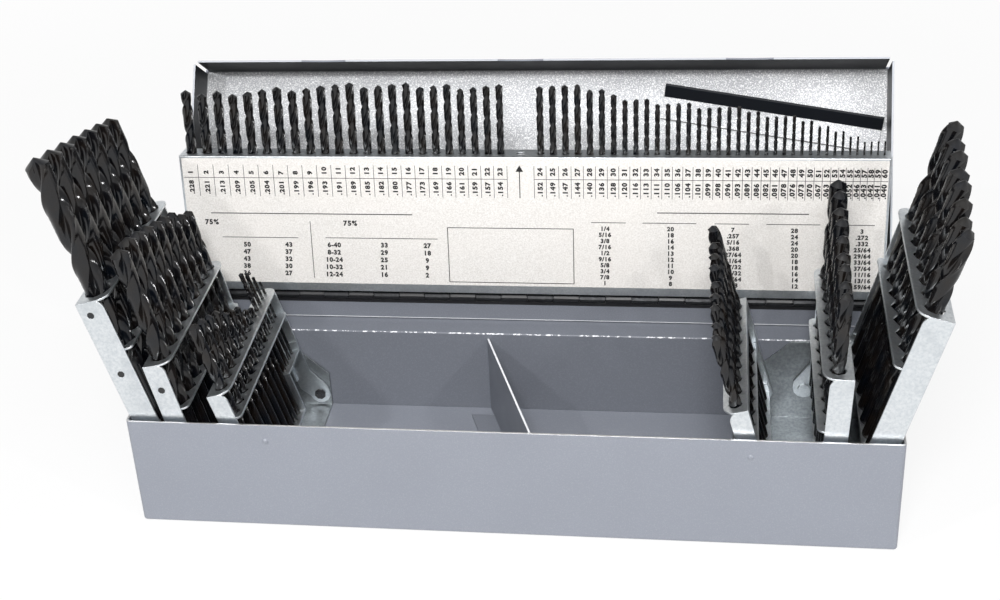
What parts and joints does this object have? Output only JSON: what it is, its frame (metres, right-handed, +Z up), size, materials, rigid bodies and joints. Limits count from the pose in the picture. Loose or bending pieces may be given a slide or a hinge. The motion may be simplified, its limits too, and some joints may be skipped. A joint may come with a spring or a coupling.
{
  "type": "drill bit drawer case",
  "caption": "Folded steel drill bit case with a hinged lid, swing racks of fractional and letter drill bits, and a leaning rack of number drill bits.",
  "frame": {"origin": "centre of the tray's underside, on the surface it stands on", "axes": "+X to the right as seen from the front, +Y to the back (hinge side), +Z up"},
  "size_m": [0.4404, 0.2147, 0.2013],
  "materials": {
    "case_paint": "satin blue-grey enamel, lightly speckled inside",
    "zinc": "bright zinc plate with a faint mottled spangle",
    "hinge_steel": "bright steel",
    "black_oxide": "black oxide with a soft oiled sheen",
    "label": "cream label, lightly speckled"
  },
  "bodies": {
    "case": {"tray": "case_paint", "rear_liner": "case_paint", "divider": "case_paint", "left_bracket": "zinc", "right_bracket": "zinc", "lower_hinge_leaf": "hinge_steel", "hinge_pin": "hinge_steel"},
    "lid": {"lid_pan": "case_paint", "upper_hinge_leaf": "hinge_steel", "point_retainer": "case_paint"},
    "number_rack": {"number_plate": "zinc", "number_rest": "zinc", "number_label": "label", "number_drills": "black_oxide"},
    "left_rack_1": {"left_rack_1_frame": "zinc", "left_rack_1_guide": "zinc", "left_rack_1_rest": "zinc", "left_rack_1_drills": "black_oxide", "left_rack_1_pivots": "hinge_steel"},
    "left_rack_2": {"left_rack_2_frame": "zinc", "left_rack_2_guide": "zinc", "left_rack_2_rest": "zinc", "left_rack_2_drills": "black_oxide", "left_rack_2_pivots": "hinge_steel"},
    "left_rack_3": {"left_rack_3_frame": "zinc", "left_rack_3_guide": "zinc", "left_rack_3_rest": "zinc", "left_rack_3_drills": "black_oxide", "left_rack_3_pivots": "hinge_steel"},
    "right_rack_1": {"right_rack_1_frame": "zinc", "right_rack_1_guide": "zinc", "right_rack_1_rest": "zinc", "right_rack_1_drills": "black_oxide", "right_rack_1_pivots": "hinge_steel"},
    "right_rack_2": {"right_rack_2_frame": "zinc", "right_rack_2_guide": "zinc", "right_rack_2_rest": "zinc", "right_rack_2_drills": "black_oxide", "right_rack_2_pivots": "hinge_steel"},
    "right_rack_3": {"right_rack_3_frame": "zinc", "right_rack_3_guide": "zinc", "right_rack_3_rest": "zinc", "right_rack_3_drills": "black_oxide", "right_rack_3_pivots": "hinge_steel"}
  },
  "joints": [
    {"name": "lid_hinge", "type": "hinge", "parent": "case", "child": "lid", "pos_m": [0, 0.06305, 0.0643], "axis": [1, 0, 0], "range_deg": [0, 27]},
    {"name": "number_rack_swing", "type": "hinge", "parent": "case", "child": "number_rack", "pos_m": [0, 0.06305, 0.0643], "axis": [1, 0, 0], "range_deg": [0, 12]},
    {"name": "left_rack_1_fold", "type": "hinge", "parent": "case", "child": "left_rack_1", "pos_m": [-0.1746, -0.0075, 0.0441], "axis": [0, 1, 0], "range_deg": [0, 105.2]},
    {"name": "left_rack_2_fold", "type": "hinge", "parent": "case", "child": "left_rack_2", "pos_m": [-0.1492, -0.0075, 0.0215], "axis": [0, 1, 0], "range_deg": [0, 102.2]},
    {"name": "left_rack_3_fold", "type": "hinge", "parent": "case", "child": "left_rack_3", "pos_m": [-0.118, -0.0075, 0.0095], "axis": [0, 1, 0], "range_deg": [0, 106.1]},
    {"name": "right_rack_1_fold", "type": "hinge", "parent": "case", "child": "right_rack_1", "pos_m": [0.1743, -0.0075, 0.0441], "axis": [0, -1, 0], "range_deg": [0, 105.8]},
    {"name": "right_rack_2_fold", "type": "hinge", "parent": "case", "child": "right_rack_2", "pos_m": [0.1492, -0.0075, 0.0215], "axis": [0, -1, 0], "range_deg": [0, 92.2]},
    {"name": "right_rack_3_fold", "type": "hinge", "parent": "case", "child": "right_rack_3", "pos_m": [0.1249, -0.0075, 0.0095], "axis": [0, -1, 0], "range_deg": [0, 75.1]}
  ],
  "couplings": [
    {"joint": "left_rack_2_fold", "follows": "left_rack_1_fold", "ratio": 0.9705},
    {"joint": "left_rack_3_fold", "follows": "left_rack_1_fold", "ratio": 1.0076},
    {"joint": "right_rack_2_fold", "follows": "right_rack_1_fold", "ratio": 0.8705},
    {"joint": "right_rack_3_fold", "follows": "right_rack_1_fold", "ratio": 0.7089}
  ]
}
